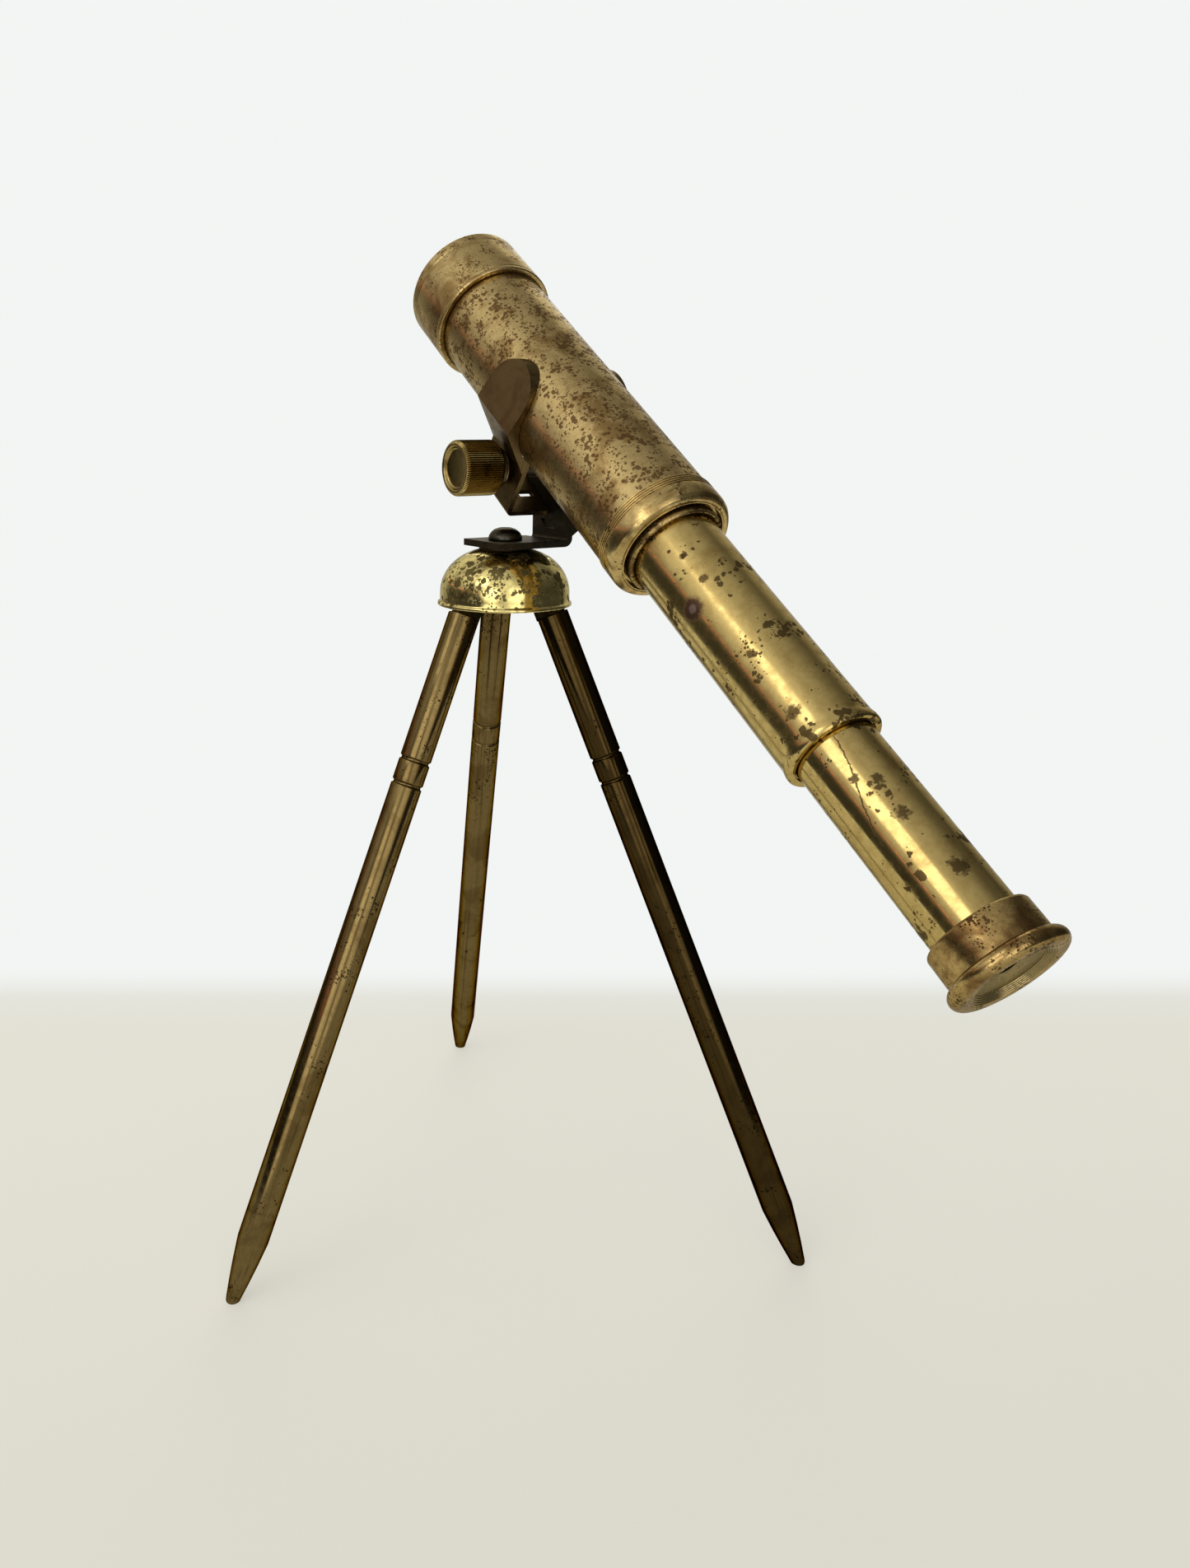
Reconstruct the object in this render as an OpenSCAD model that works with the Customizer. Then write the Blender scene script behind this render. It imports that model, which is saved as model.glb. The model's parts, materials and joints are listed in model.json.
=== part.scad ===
// Small brass spyglass in a screw clamp on a folding three-legged stand.
// Millimetres, +Z up. Origin on the floor, on the stand's upright axis.
// +X points level from the objective end towards the eyepiece end.

/* [Stand] */
// height of the leg hinge pins above the floor
pivot_h = 172; // [165:1:180]
// radius of the circle the feet stand on
foot_circle_r = 84.1; // [80:0.1:86]
// azimuth of the first leg
leg_azimuth = -83.6; // [-120:0.1:0]
// diameter of each leg rod
leg_d = 8; // [6.5:0.1:8]
// length of the tapered foot end
foot_taper = 16.2; // [10:0.1:24]
// diameter of the blunt foot tip
foot_tip_d = 3.6; // [2.5:0.1:5]
// height of the lower decorative groove, along the rod
groove_1 = 135.4; // [100:0.1:137]
// height of the upper decorative groove, along the rod
groove_2 = 141.7; // [139:0.1:160]
// width of each groove
groove_w = 1; // [0.5:0.1:1.4]
// depth of each groove
groove_depth = 0.45; // [0.2:0.05:0.8]

/* [Cap and hub] */
// outer radius of the domed cap's wall
cap_r = 16.5; // [16:0.1:18]
// sheet thickness of the cap
cap_wall = 0.8; // [0.5:0.1:1]
// height of the cap's open rim
cap_rim_z = 167.2; // [167:0.1:168]
// outer radius of the turned-out rim lip
cap_lip_r = 17.05; // [16.8:0.05:19]
// radius of the hub under the cap
hub_r = 13; // [12.5:0.1:13.2]
// width of the slots for the leg tongues
slot_w = 3.2; // [2.8:0.1:4]
// thickness of the leg tongues
tongue_w = 3; // [2:0.1:3.1]
// diameter of the leg hinge pins
leg_pin_d = 2; // [1.5:0.1:2.4]

/* [Swivel bracket] */
// sheet thickness of the base plate
plate_t = 1.65; // [1.2:0.05:1.7]
// sheet thickness of the upright
upright_t = 1.4; // [1:0.1:1.5]
// width of the base plate
plate_w = 17.5; // [15:0.1:20]
// diameter of the swivel screw's head
head_d = 8.6; // [7.5:0.1:10]
// height of the swivel screw's head
head_h = 3.2; // [2:0.1:4]

/* [Clamp] */
// downward tilt of the telescope from level
tilt = 34.7; // [0:0.1:45]
// height of the clamp's screw, the tilt axis
tilt_z = 201.4; // [201:0.1:210]
// sheet thickness of the jaws
jaw_t = 1.2; // [0.8:0.1:1.4]
// width of the jaws along the tube
jaw_w = 16.4; // [14:0.1:20]
// diameter of the clamping screw
screw_d = 5; // [4:0.1:5]
// diameter of the thumb knob over its teeth
knob_d = 13.6; // [11:0.1:13.6]
// length of the thumb knob
knob_len = 11.2; // [8:0.1:14]
// number of teeth round the knob
knob_teeth = 76; // [40:2:90]
// depth of the knob's teeth
tooth_depth = 0.42; // [0.2:0.02:0.6]

/* [Telescope barrel] */
// outer radius of the main barrel
barrel_r = 14.3; // [14:0.05:14.3]
// outer radius of the objective hood
hood_r = 15.75; // [15.6:0.05:17]
// visible length of the objective hood
hood_len = 17.2; // [15:0.1:20]
// wall thickness of the main barrel
barrel_wall = 0.8; // [0.6:0.05:0.9]
// outer radius of the ring at the barrel's eye end
end_ring_r = 14.67; // [14.6:0.01:15.4]

/* [Draw tubes] */
// outer radius of the first draw tube
tube_a_r = 10.18; // [10:0.01:10.2]
// outer radius of the second draw tube
tube_b_r = 8.52; // [8.3:0.01:8.6]
// wall thickness of the draw tubes
draw_wall = 0.6; // [0.4:0.05:0.7]
// radial running clearance of the draw tubes
slide_gap = 0.08; // [0.03:0.01:0.1]

/* [Eyepiece] */
// radius of the eyepiece cup
eye_cup_r = 10.15; // [9.5:0.05:10.5]
// radius of the eyepiece's rounded flange
eye_flange_r = 11.7; // [11:0.05:13]
// radius of the recess in the eyepiece face
eye_recess_r = 8.3; // [7.5:0.05:9]
// number of fine steps round the recess
eye_steps = 5; // [3:1:6]
// radius of the eye hole
eye_hole_r = 1.8; // [1.5:0.05:3]

/* [Hidden] */
$fn = 72;

brass_dark = [0.35, 0.29, 0.16];
brass = [0.63, 0.53, 0.30];
brass_bright = [0.74, 0.66, 0.40];
steel_dark = [0.20, 0.17, 0.14];
glass_tint = [0.80, 0.88, 0.90, 0.4];

eps = 0.02;
cut = 1;

// Stand.
leg_count = 3;
leg_step = 360 / leg_count;
leg_r = leg_d / 2;
leg_spread = 23.3;
pivot_r = foot_circle_r - pivot_h * tan(leg_spread);
leg_len = pivot_h / cos(leg_spread);
shoulder_drop = 7.4;
tongue_out = 3;
shoulder_s = leg_len - shoulder_drop;
tip_round = 0.9;
pin_fit = 0.05;
pin_len = 15.2;

// Cap: a superellipse dome above a straight skirt.
dome_z = 169.5;
dome_h = 12.4;
dome_power = 2.25;
cap_top_z = 181.2;
dome_steps = 16;
lip_h = 0.7;
lip_run = 0.4;
hub_z = 169;
hub_neck_z = 175;
hub_top_r = 6;
hub_top_z = cap_top_z - cap_wall;
slot_in = pivot_r - leg_r - 0.35;
slot_top = pivot_h + leg_r + 0.5;

// Swivel bracket.
screw_r = screw_d / 2;
thread_fit = 0.02;
bore_fit = 0.06;
washer_r = 6.6;
washer_t = 0.5;
lift = 0.05;
plate_z = cap_top_z + washer_t + lift;
plate_top = plate_z + plate_t;
plate_y0 = -6.95;
upright_y = 13;
upright_x0 = -7.1;
upright_x1 = 8.8;
upright_side_z = 196.5;
side_flange_top = 190;
lobe_r = 4.6;
bend_r = 2.2;
window_z0 = 185.9;
window_z1 = 188.2;
ear_x = -11.9;
ear_z0 = 194.4;
ear_z1 = 199.4;
flange_t = 1.4;
// Each side flange: its left face, depth in Y and slant of its lower edge.
side_flanges = [[upright_x0, 23, 0.08], [upright_x1 - flange_t, 18, 0.7]];

// Clamp, in a frame on the screw axis turned by the tilt.
tube_y = 8;
tube_up = 18.6;
tube_a0 = -12.87;
grip = 0.12;
jaw_a0 = -8.9;
jaw_neck_y = -0.5;
jaw_neck_top = 3.2;
jaw_bend_y = -9.2;
jaw_bend_b = 14.8;
jaw_lean = 15;
jaw_head_len = 14.5;
back_head_len = 12.9;
back_shift = 1.4;
jaw_rim = 3.4;
foot_b = -9.4;
foot_end_y = 12.7;
back_neck_y = upright_y + upright_t + lift;
back_tail_b = -5.5;
back_neck_top = 4;
slit_a0 = -1;
slit_a1 = 1.4;
slit_y0 = 6.7;
slit_y1 = 11;
knob_y = -3.9;
knob_r = knob_d / 2;
collar_r = 5;
collar_y = -2.6;
washer_nose_r = 2.9;
screw_end_y = 18;

// Stations along the telescope from the point over the stand's axis.
hood_t0 = -40;
hood_t1 = hood_t0 + hood_len;
barrel_t0 = -31;
ring_t0 = 60.3;
ring_t1 = 67.4;
ring_seat = 64;
collar_end = 68.9;
collar_r_out = 11.5;
ring_mouth_r = 12.2;
ring_groove = 1.8;
collar_front = 46;
tube_a_t0 = 40;
tube_a_t1 = 128.3;
bead_w = 3;
bead_h = 0.3;
bead_mouth_r = tube_b_r + 0.25;
stop_w = 4;
tube_b_t0 = 88;
tube_b_t1 = 173;
cup_t0 = 170;
cup_t1 = 176.8;
eye_t1 = 180;
eye_depth = 2;
eye_lens_r = 5.2;
barrel_in = barrel_r - barrel_wall;
tube_a_in = tube_a_r - draw_wall;
tube_b_in = tube_b_r - draw_wall;
hood_bore = 15;
lens_r = 13.6;
lens_steps = 8;
cement_t = barrel_t0 - 2.9;
cement_radius = 90;

module hollow(r1, r0, t0, t1) {
    translate([0, 0, t0])
        difference() {
            cylinder(r = r1, h = t1 - t0);
            translate([0, 0, -cut])
                cylinder(r = r0, h = t1 - t0 + 2 * cut);
        }
}

// Radius of the dome at height z for a given wall size.
function dome_radius(z, r, h) =
    r * pow(max(0, 1 - pow(max(0, z - dome_z) / h, dome_power)),
        1 / dome_power);

function dome_line(r, h, z0, z1) =
    [for (i = [0 : dome_steps])
        let (s = sin(90 * i / dome_steps), z = z0 + (z1 - z0) * s)
        [dome_radius(z, r, h), z]];

// Sheet strip along a path in a plane: thickness t to the left of the path.
function unit(v) = v / norm(v);
function left(v) = [-v[1], v[0]];
function side_at(p, i) =
    let (n = len(p),
        d0 = unit(p[max(i, 1)] - p[max(i, 1) - 1]),
        d1 = unit(p[min(i + 1, n - 1)] - p[min(i + 1, n - 1) - 1]),
        m = unit(left(d0) + left(d1)))
    m / (m * left(d0));
function strip(p, t) =
    concat(p, [for (i = [len(p) - 1 : -1 : 0]) p[i] + t * side_at(p, i)]);
function bend(c, r, a0, a1, n = 6) =
    [for (i = [0 : n])
        c + r * [cos(a0 + (a1 - a0) * i / n), sin(a0 + (a1 - a0) * i / n)]];

// Extrudes a (Y, Z) outline along X from x0 to x1.
module along_x(x0, x1) {
    translate([x0, 0, 0])
        rotate([90, 0, 90])
            linear_extrude(x1 - x0)
                children();
}

// Extrudes an (X, Z) outline along Y from y0 to y1.
module along_y(y0, y1) {
    translate([0, y1, 0])
        rotate([90, 0, 0])
            linear_extrude(y1 - y0)
                children();
}

module in_clamp() {
    translate([0, 0, tilt_z])
        rotate([0, tilt, 0])
            children();
}

module in_scope() {
    in_clamp()
        translate([tube_a0, tube_y, tube_up])
            rotate([0, 90, 0])
                children();
}

module at_leg(i) {
    rotate([0, 0, leg_azimuth + leg_step * i])
        translate([pivot_r, 0, pivot_h])
            children();
}

module pin_bar(r, length) {
    rotate([90, 0, 0])
        cylinder(r = r, h = length, center = true, $fn = 36);
}

// Stand.
module dome_cap() {
    color(brass_bright)
        difference() {
            rotate_extrude($fn = 96)
                polygon(concat(
                    [[cap_lip_r - cap_wall, cap_rim_z], [cap_lip_r, cap_rim_z],
                        [cap_lip_r, cap_rim_z + lip_h],
                        [cap_r, cap_rim_z + lip_h + lip_run]],
                    dome_line(cap_r, dome_h, dome_z, cap_top_z),
                    [[0, cap_top_z], [0, cap_top_z - cap_wall]],
                    [for (i = [dome_steps : -1 : 0])
                        dome_line(cap_r - cap_wall, dome_h - cap_wall,
                            dome_z, cap_top_z - cap_wall)[i]],
                    [[cap_r - cap_wall, cap_rim_z + lip_h + lip_run],
                        [cap_lip_r - cap_wall, cap_rim_z + lip_h]]));
            translate([0, 0, cap_top_z - 2 * cut])
                cylinder(r = screw_r + thread_fit, h = 4 * cut);
        }
}

module leg_hub() {
    color(brass)
        difference() {
            rotate_extrude()
                polygon([[0, hub_z], [hub_r, hub_z], [hub_r, hub_neck_z],
                    [hub_top_r, hub_top_z], [0, hub_top_z]]);
            translate([0, 0, hub_z - cut])
                cylinder(r = screw_r + thread_fit, h = hub_top_z - hub_z + 2 * cut);
            for (i = [0 : leg_count - 1]) {
                rotate([0, 0, leg_azimuth + leg_step * i])
                    translate([slot_in, -slot_w / 2, hub_z - cut])
                        cube([hub_r, slot_w, slot_top - hub_z + cut]);
                at_leg(i)
                    pin_bar(leg_pin_d / 2, 2 * hub_r);
            }
        }
}

module leg_pins() {
    color(steel_dark)
        for (i = [0 : leg_count - 1])
            at_leg(i)
                pin_bar(leg_pin_d / 2, pin_len);
}

module leg_rod() {
    g = groove_w / 2;
    gr = leg_r - groove_depth;
    tip_r = foot_tip_d / 2;
    rotate_extrude($fn = 64)
        polygon([[0, -tip_round], [tip_r / 2, -tip_round],
            [tip_r * 0.86, -tip_round / 2], [tip_r, tip_round / 2],
            [leg_r, foot_taper],
            [leg_r, groove_1 - g], [gr, groove_1 - g],
            [gr, groove_1 + g], [leg_r, groove_1 + g],
            [leg_r, groove_2 - g], [gr, groove_2 - g],
            [gr, groove_2 + g], [leg_r, groove_2 + g],
            [leg_r, shoulder_s], [0, shoulder_s]]);
}

module leg(i) {
    color(brass_dark)
        difference() {
            at_leg(i)
                rotate([0, -leg_spread, 0])
                    difference() {
                        union() {
                            translate([0, 0, -leg_len])
                                leg_rod();
                            pin_bar(leg_r, tongue_w);
                            translate([-leg_r, -tongue_w / 2, -shoulder_drop - eps])
                                cube([leg_r + tongue_out, tongue_w,
                                    shoulder_drop + eps]);
                        }
                        pin_bar(leg_pin_d / 2 + pin_fit, tongue_w + cut);
                    }
            translate([-foot_circle_r - leg_d, -foot_circle_r - leg_d, -leg_d])
                cube([2 * (foot_circle_r + leg_d), 2 * (foot_circle_r + leg_d), leg_d]);
        }
}

module leg_1() {
    leg(0);
}

module leg_2() {
    leg(1);
}

module leg_3() {
    leg(2);
}

module pivot_screw() {
    head_z = plate_top + lift;
    slot = 1.2;
    color(steel_dark)
        difference() {
            union() {
                translate([0, 0, hub_z + cut])
                    cylinder(r = screw_r, h = head_z - hub_z - cut + eps);
                intersection() {
                    translate([0, 0, head_z])
                        cylinder(r = head_d / 2, h = head_h);
                    translate([0, 0, head_z + head_h - head_d * 0.56])
                        sphere(r = head_d * 0.56);
                }
            }
            translate([-head_d, -slot / 2, head_z + head_h - slot])
                cube([2 * head_d, slot, 2 * slot]);
        }
}

module base_washer() {
    color(steel_dark)
        hollow(washer_r, screw_r + thread_fit, cap_top_z, cap_top_z + washer_t);
}

// Swivel bracket.
module upright_outline() {
    difference() {
        union() {
            polygon([[upright_x0, plate_z], [upright_x1, plate_z],
                [upright_x1, side_flange_top], [-upright_x0, upright_side_z],
                [lobe_r, tilt_z], [-lobe_r, tilt_z],
                [ear_x + 1.1, ear_z1], [ear_x, ear_z1 - 1],
                [ear_x, ear_z0 + 1.2], [ear_x + 1, ear_z0 + 0.2],
                [upright_x0 - 1.1, ear_z0], [upright_x0, ear_z0 - 0.6]]);
            translate([0, tilt_z])
                circle(r = lobe_r);
        }
        polygon([[-1.2, window_z0], [2.5, window_z0],
            [7, window_z1], [-3.5, window_z1]]);
        translate([0, tilt_z])
            circle(r = screw_r + bore_fit);
    }
}

module foot_bracket() {
    back = upright_y + upright_t;
    path = concat([[plate_y0, plate_z]],
        bend([back - bend_r, plate_z + bend_r], bend_r, -90, 0),
        [[back, tilt_z + lobe_r + cut]]);
    color(steel_dark) {
        difference() {
            union() {
                translate([-plate_w / 2, plate_y0, plate_z])
                    cube([plate_w, upright_y - plate_y0 - 1, plate_t]);
                intersection() {
                    along_x(ear_x, upright_x1)
                        polygon(strip(path, upright_t));
                    along_y(plate_y0 - cut, back + cut)
                        upright_outline();
                }
            }
            translate([0, 0, plate_z - cut])
                cylinder(r = screw_r + bore_fit, h = plate_t + 2 * cut);
        }
        for (side = side_flanges)
            along_x(side[0], side[0] + flange_t)
                polygon([[back - eps, plate_top + 1],
                    [side[1], plate_top + 1 + (side[1] - back) * side[2]],
                    [side[1], side_flange_top - 1],
                    [back - eps, side_flange_top]]);
    }
}

// Clamp jaws.
module jaw_outline(inset, b0, top_b) {
    r = jaw_w / 2 - inset;
    mid_a = jaw_a0 + jaw_w / 2;
    translate([mid_a, top_b - jaw_w / 2])
        circle(r = r);
    translate([mid_a - r, b0])
        square([2 * r, top_b - jaw_w / 2 - b0]);
}

// Jaw on the knob's side; start is its path below the flare, from below.
module jaw(start, b0, head_len) {
    neck = start[len(start) - 1];
    lean = [sin(jaw_lean), cos(jaw_lean)];
    top_b = jaw_bend_b + head_len * lean[1];
    flare = [neck, [jaw_bend_y, jaw_bend_b],
        [jaw_bend_y, jaw_bend_b] + (head_len + cut) * lean];
    path = concat(start, [flare[1], flare[2]]);
    difference() {
        union() {
            intersection() {
                along_x(jaw_a0, jaw_a0 + jaw_w)
                    polygon(strip(path, -jaw_t));
                along_y(jaw_bend_y - cut, foot_end_y + cut)
                    jaw_outline(0, b0, top_b);
            }
            intersection() {
                along_x(jaw_a0, jaw_a0 + jaw_w)
                    polygon(strip(flare, -jaw_rim));
                along_y(jaw_bend_y - cut, neck[0] + jaw_t)
                    difference() {
                        jaw_outline(0, jaw_neck_top, top_b);
                        jaw_outline(jaw_t, jaw_neck_top - cut, top_b);
                    }
            }
        }
        translate([0, tube_y, tube_up])
            rotate([0, 90, 0])
                cylinder(r = barrel_r + grip, h = 4 * jaw_w, center = true);
    }
}

module front_jaw() {
    fold = 1.6;
    start = concat([[foot_end_y, foot_b]],
        bend([jaw_neck_y + fold, foot_b + fold], fold, 270, 180),
        [[jaw_neck_y, jaw_neck_top]]);
    color(steel_dark)
        in_clamp()
            difference() {
                jaw(start, foot_b, jaw_head_len);
                along_y(jaw_neck_y - cut, jaw_neck_y + jaw_t + cut)
                    circle(r = screw_r + bore_fit);
                translate([slit_a0, slit_y0, foot_b - cut])
                    cube([slit_a1 - slit_a0, slit_y1 - slit_y0, jaw_t + 2 * cut]);
            }
}

module back_jaw() {
    neck = 2 * tube_y - back_neck_y - jaw_t;
    color(steel_dark)
        in_clamp()
            difference() {
                translate([back_shift, 2 * tube_y, 0])
                    mirror([0, 1, 0])
                        jaw([[neck, back_tail_b], [neck, back_neck_top]],
                            back_tail_b, back_head_len);
                along_y(back_neck_y - cut, back_neck_y + jaw_t + cut)
                    circle(r = screw_r + bore_fit);
            }
}

// Clamping screw.
module thumb_screw() {
    color(steel_dark)
        in_clamp() {
            along_y(knob_y - knob_len / 2, screw_end_y)
                circle(r = screw_r);
            along_y(knob_y, collar_y)
                circle(r = collar_r);
        }
}

module knob_washer() {
    nose_y = jaw_neck_y - 2 * lift;
    color(brass_bright)
        in_clamp()
            translate([0, nose_y, 0])
                rotate([90, 0, 0])
                    difference() {
                        cylinder(r1 = washer_nose_r, r2 = collar_r,
                            h = nose_y - collar_y);
                        translate([0, 0, -cut])
                            cylinder(r = screw_r + thread_fit,
                                h = nose_y - collar_y + 2 * cut);
                    }
}

module thumb_knob() {
    dish = 1.1;
    chamfer = 0.8;
    color(brass)
        in_clamp()
            translate([0, knob_y, 0])
                rotate([90, 0, 0])
                    difference() {
                        intersection() {
                            linear_extrude(knob_len)
                                polygon([for (i = [0 : 2 * knob_teeth - 1])
                                    let (r = knob_r - tooth_depth * (i % 2),
                                        q = 180 * i / knob_teeth)
                                    [r * cos(q), r * sin(q)]]);
                            rotate_extrude()
                                polygon([[0, 0], [knob_r - chamfer, 0],
                                    [knob_r + eps, chamfer],
                                    [knob_r + eps, knob_len - chamfer / 3],
                                    [knob_r - chamfer / 3, knob_len],
                                    [0, knob_len]]);
                        }
                        translate([0, 0, knob_len - dish])
                            cylinder(r1 = knob_r - 2.6, r2 = knob_r - 1.5,
                                h = dish + eps);
                        translate([0, 0, -cut])
                            cylinder(r = screw_r, h = knob_len / 2 + cut);
                    }
}

// Telescope.
// Depth of a spherical surface of the given radius at distance x.
function sag(x, radius) = radius - sqrt(radius * radius - x * x);
function lens_face(r, t, radius, way) =
    [for (i = [0 : lens_steps])
        let (x = r * i / lens_steps)
        [x, t + way * sag(x, radius)]];
function backward(p) = [for (i = [len(p) - 1 : -1 : 0]) p[i]];

module lens(r, t0, t1, r_front, r_back) {
    rotate_extrude($fn = 96)
        polygon(concat(lens_face(r, t0, r_front, 1),
            backward(lens_face(r, t1, r_back, -1))));
}

module objective_hood() {
    color(brass)
        in_scope()
            rotate_extrude($fn = 96)
                polygon([[hood_bore, hood_t0 + 0.4], [hood_bore + 0.25, hood_t0],
                    [hood_r - 0.25, hood_t0], [hood_r, hood_t0 + 0.4],
                    [hood_r, hood_t1 - 0.2], [hood_r - 0.2, hood_t1],
                    [barrel_r, hood_t1], [barrel_r, barrel_t0],
                    [hood_bore, barrel_t0]]);
}

module objective_cell() {
    color(brass_dark)
        in_scope()
            difference() {
                translate([0, 0, barrel_t0 - 6])
                    cylinder(r = hood_bore, h = 6);
                translate([0, 0, barrel_t0 - 6 - cut])
                    cylinder(r = lens_r, h = 5 + cut);
                translate([0, 0, barrel_t0 - 3])
                    cylinder(r = hood_bore - 2.4, h = 4);
            }
}

module objective_retainer() {
    color(brass_dark)
        in_scope()
            hollow(hood_bore, hood_bore - 2.2, hood_t0 + 1.8, barrel_t0 - 6);
}

module objective_crown() {
    color(glass_tint)
        in_scope()
            lens(lens_r, barrel_t0 - 6.2, cement_t, 130, cement_radius);
}

module objective_flint() {
    color(glass_tint)
        in_scope()
            rotate_extrude($fn = 96)
                polygon(concat(lens_face(lens_r, cement_t + eps, cement_radius, -1),
                    [[lens_r, cement_t + 1.9], [0, cement_t + 1.9]]));
}

module main_barrel() {
    color(brass)
        in_scope()
            hollow(barrel_r, barrel_in, barrel_t0, ring_seat);
}

module barrel_end_ring() {
    ridge = 0.3;
    ridges = [for (i = [0 : 3])
        each [[end_ring_r, ring_t0 + 2 * i * ridge],
            [end_ring_r, ring_t0 + (2 * i + 1) * ridge],
            [end_ring_r - ridge, ring_t0 + (2 * i + 1) * ridge],
            [end_ring_r - ridge, ring_t0 + (2 * i + 2) * ridge]]];
    color(brass)
        in_scope()
            rotate_extrude($fn = 96)
                polygon(concat([[barrel_r, ring_t0]], ridges,
                    [[end_ring_r, ring_t0 + 2.6], [end_ring_r, ring_t1 - 2.2],
                        [end_ring_r - 0.2, ring_t1 - 1.2],
                        [end_ring_r - 0.7, ring_t1 - 0.4],
                        [end_ring_r - 1.5, ring_t1], [ring_mouth_r, ring_t1],
                        [ring_mouth_r, ring_t1 - ring_groove],
                        [collar_r_out, ring_t1 - ring_groove],
                        [collar_r_out, ring_seat],
                        [barrel_r, ring_seat]]));
}

module guide_collar() {
    bore = tube_a_r + slide_gap;
    color(brass_dark)
        in_scope()
            rotate_extrude($fn = 96)
                polygon([[bore, collar_front], [barrel_in, collar_front],
                    [barrel_in, collar_front + 3], [collar_r_out, collar_front + 3],
                    [collar_r_out, collar_end - 0.4], [collar_r_out - 0.4, collar_end],
                    [bore, collar_end]]);
}

module draw_tube_a() {
    color(brass)
        in_scope()
            rotate_extrude($fn = 96)
                polygon([[tube_a_in, tube_a_t0], [tube_a_r, tube_a_t0],
                    [tube_a_r, tube_a_t1 - bead_w],
                    [tube_a_r + bead_h, tube_a_t1 - bead_w / 2],
                    [tube_a_r + bead_h, tube_a_t1 - 0.4],
                    [tube_a_r - 0.2, tube_a_t1], [bead_mouth_r, tube_a_t1],
                    [bead_mouth_r, tube_a_t1 - draw_wall],
                    [tube_a_in, tube_a_t1 - draw_wall]]);
}

module a_stop_ring() {
    color(brass_dark)
        in_scope()
            hollow(barrel_in - slide_gap, tube_a_r, collar_front - lift - stop_w,
                collar_front - lift);
}

module a_guide_collar() {
    color(brass_dark)
        in_scope()
            hollow(tube_a_in, tube_b_r + slide_gap, tube_a_t1 - 12,
                tube_a_t1 - draw_wall);
}

module draw_tube_b() {
    color(brass)
        in_scope()
            hollow(tube_b_r, tube_b_in, tube_b_t0, tube_b_t1);
}

module b_stop_ring() {
    color(brass_dark)
        in_scope()
            hollow(tube_a_in - slide_gap, tube_b_r, tube_b_t0 + 0.5,
                tube_b_t0 + 0.5 + stop_w);
}

module erector_cell() {
    color(brass_dark)
        in_scope()
            difference() {
                hollow(tube_b_in, tube_b_in - 2, tube_b_t0 + 1, tube_b_t0 + 25);
                for (t = [tube_b_t0 + 1, tube_b_t0 + 25 - 2.6])
                    translate([0, 0, t - eps])
                        cylinder(r = tube_b_in - 1, h = 2.6 + 2 * eps);
            }
}

module erector_lens_front() {
    color(glass_tint)
        in_scope()
            lens(tube_b_in - 1, tube_b_t0 + 1.1, tube_b_t0 + 3.5, 40, 40);
}

module erector_lens_rear() {
    color(glass_tint)
        in_scope()
            lens(tube_b_in - 1, tube_b_t0 + 22.5, tube_b_t0 + 24.9, 40, 40);
}

module field_lens() {
    color(glass_tint)
        in_scope()
            lens(tube_b_in, tube_b_t1 - 22, tube_b_t1 - 19.2, 30, 200);
}

module field_stop() {
    color(brass_dark)
        in_scope()
            hollow(tube_b_in, 5, tube_b_t1 - 12, tube_b_t1 - 11);
}

module eyepiece_cup() {
    color(brass)
        in_scope()
            rotate_extrude($fn = 96)
                polygon([[tube_b_r, cup_t0], [eye_cup_r - 0.4, cup_t0],
                    [eye_cup_r, cup_t0 + 0.4], [eye_cup_r, cup_t1],
                    [eye_recess_r, cup_t1], [eye_recess_r, tube_b_t1],
                    [tube_b_r, tube_b_t1]]);
}

module eyepiece_flange() {
    edge = (eye_t1 - cup_t1) / 2;
    fall = 0.22;
    shrink = 0.34;
    cone_r = eye_recess_r - eye_steps * shrink;
    steps = [for (i = [0 : eye_steps - 1])
        each [[eye_recess_r - i * shrink, eye_t1 - i * fall],
            [eye_recess_r - i * shrink, eye_t1 - (i + 1) * fall]]];
    color(brass)
        in_scope()
            rotate_extrude($fn = 96)
                polygon(concat([[eye_hole_r, cup_t1]],
                    bend([eye_flange_r - edge, cup_t1 + edge], edge, -90, 90, 10),
                    steps, [[cone_r, eye_t1 - eye_steps * fall],
                        [eye_hole_r + 0.5, eye_t1 - eye_depth],
                        [eye_hole_r, eye_t1 - eye_depth]]));
}

module eye_lens_cell() {
    color(brass_dark)
        in_scope()
            difference() {
                hollow(eye_recess_r, eye_lens_r - 0.8, tube_b_t1, cup_t1);
                translate([0, 0, cup_t1 - 2.7])
                    cylinder(r = eye_lens_r, h = 3);
            }
}

module eye_lens() {
    color(glass_tint)
        in_scope()
            lens(eye_lens_r, cup_t1 - 2.7, cup_t1, 18, 60);
}

dome_cap();
leg_hub();
leg_pins();
pivot_screw();
base_washer();
leg_1();
leg_2();
leg_3();
foot_bracket();
back_jaw();
front_jaw();
thumb_screw();
thumb_knob();
knob_washer();
objective_hood();
objective_cell();
objective_crown();
objective_flint();
objective_retainer();
main_barrel();
barrel_end_ring();
guide_collar();
draw_tube_a();
a_stop_ring();
a_guide_collar();
draw_tube_b();
b_stop_ring();
erector_cell();
erector_lens_front();
erector_lens_rear();
field_lens();
field_stop();
eyepiece_cup();
eyepiece_flange();
eye_lens();
eye_lens_cell();
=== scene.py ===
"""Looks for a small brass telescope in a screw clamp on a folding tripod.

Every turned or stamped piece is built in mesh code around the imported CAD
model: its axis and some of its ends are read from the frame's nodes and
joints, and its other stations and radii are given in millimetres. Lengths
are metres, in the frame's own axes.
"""
import json
import math

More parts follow.
